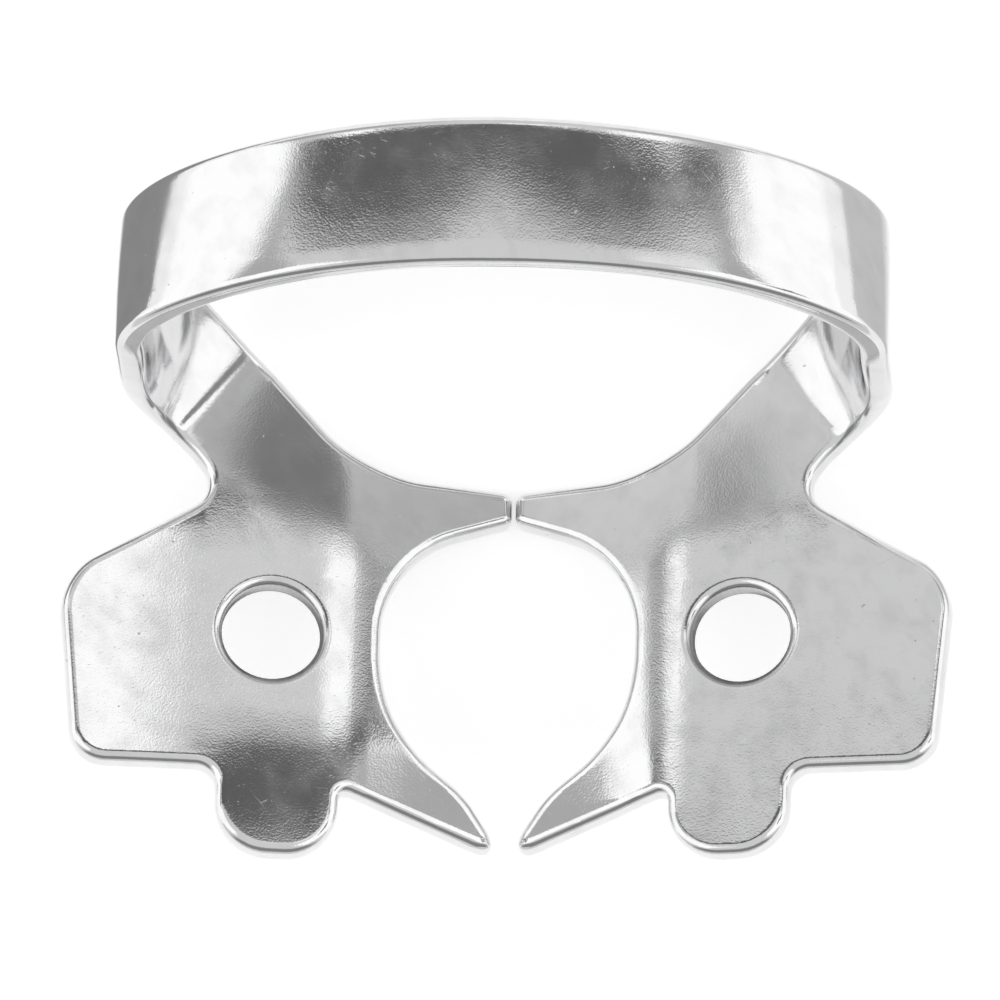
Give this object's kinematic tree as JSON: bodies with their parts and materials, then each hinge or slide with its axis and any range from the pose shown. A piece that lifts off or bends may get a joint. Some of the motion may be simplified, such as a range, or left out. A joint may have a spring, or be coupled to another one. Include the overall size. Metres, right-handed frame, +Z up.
{
  "type": "rubber dam clamp",
  "caption": "Winged spring clamp with a sprung bow and pronged jaws that grip a molar's neck and hold a rubber dam, with a forceps hole through each jaw.",
  "frame": {"origin": "under the middle of the clamp's box, on the surface that it lies on", "axes": "+X across the jaws, +Y towards the bow (distal), +Z up; the clamp lies tipped back on its back prongs and on the lower curls of the bow"},
  "size_m": [0.0286, 0.0246, 0.0115],
  "materials": {
    "polished_steel": "mirror-polished stainless spring steel with fine tumbling marks"
  },
  "bodies": {
    "root": {"clamp": "polished_steel"}
  },
  "joints": []
}
